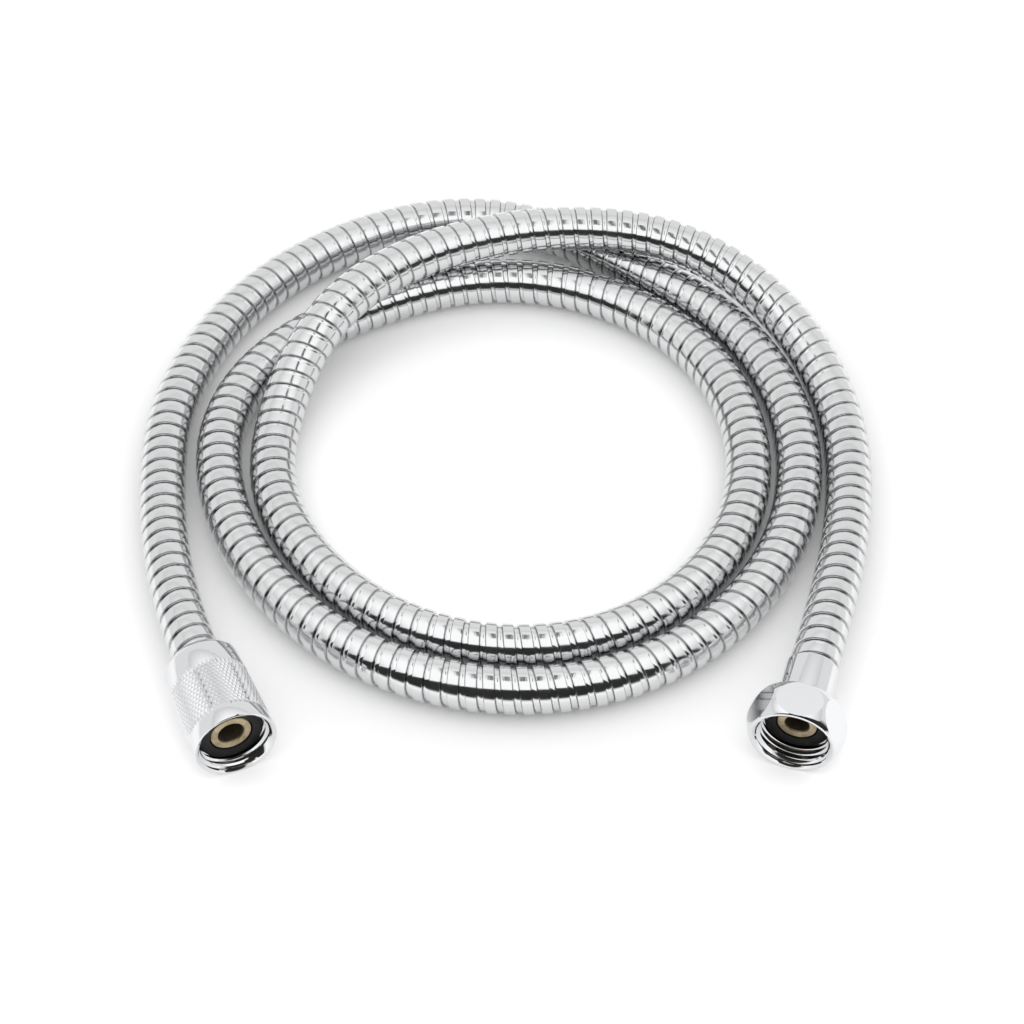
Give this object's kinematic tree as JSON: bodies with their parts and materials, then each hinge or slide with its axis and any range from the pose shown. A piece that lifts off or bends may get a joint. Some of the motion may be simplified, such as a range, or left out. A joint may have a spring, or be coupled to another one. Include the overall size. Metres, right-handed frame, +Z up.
{
  "type": "flexible hose",
  "caption": "Flexible shower hose in a wound metal sheath, laid in a ring, with a long knurled cone nut on one end and a short hexagon nut with a plain crimp ferrule on the other.",
  "frame": {"origin": "centre of the laid hose's bounding rectangle, on the surface that it lies on", "axes": "+Z up from that surface, -Y the side that both nuts point to, +X towards the hexagon nut's side of the ring"},
  "size_m": [0.2138, 0.2198, 0.0275],
  "materials": {
    "wound_sheath": "polished wound strip",
    "bright_chrome": "mirror bright plating",
    "dull_brass": "turned, slightly dull",
    "washer_rubber": "matt black",
    "tube_rubber": "matt"
  },
  "bodies": {
    "hose": {"outer_sheath": "wound_sheath", "inner_tube": "tube_rubber", "knurled_end_ferrule": "bright_chrome", "knurled_end_insert": "dull_brass", "knurled_end_washer": "washer_rubber", "hex_end_ferrule": "bright_chrome", "hex_end_insert": "dull_brass", "hex_end_washer": "washer_rubber"},
    "cone_nut": {"knurled_nut": "bright_chrome"},
    "hexagon_nut": {"hex_nut": "bright_chrome"}
  },
  "joints": [
    {"name": "cone_nut_swivel", "type": "hinge", "parent": "hose", "child": "cone_nut", "pos_m": [-0.07195, -0.10554, 0.01173], "axis": [0.3824, -0.9232, 0.0386], "continuous": true},
    {"name": "hexagon_nut_swivel", "type": "hinge", "parent": "hose", "child": "hexagon_nut", "pos_m": [0.07665, -0.10525, 0.012], "axis": [-0.284, -0.9588, 0], "continuous": true}
  ]
}
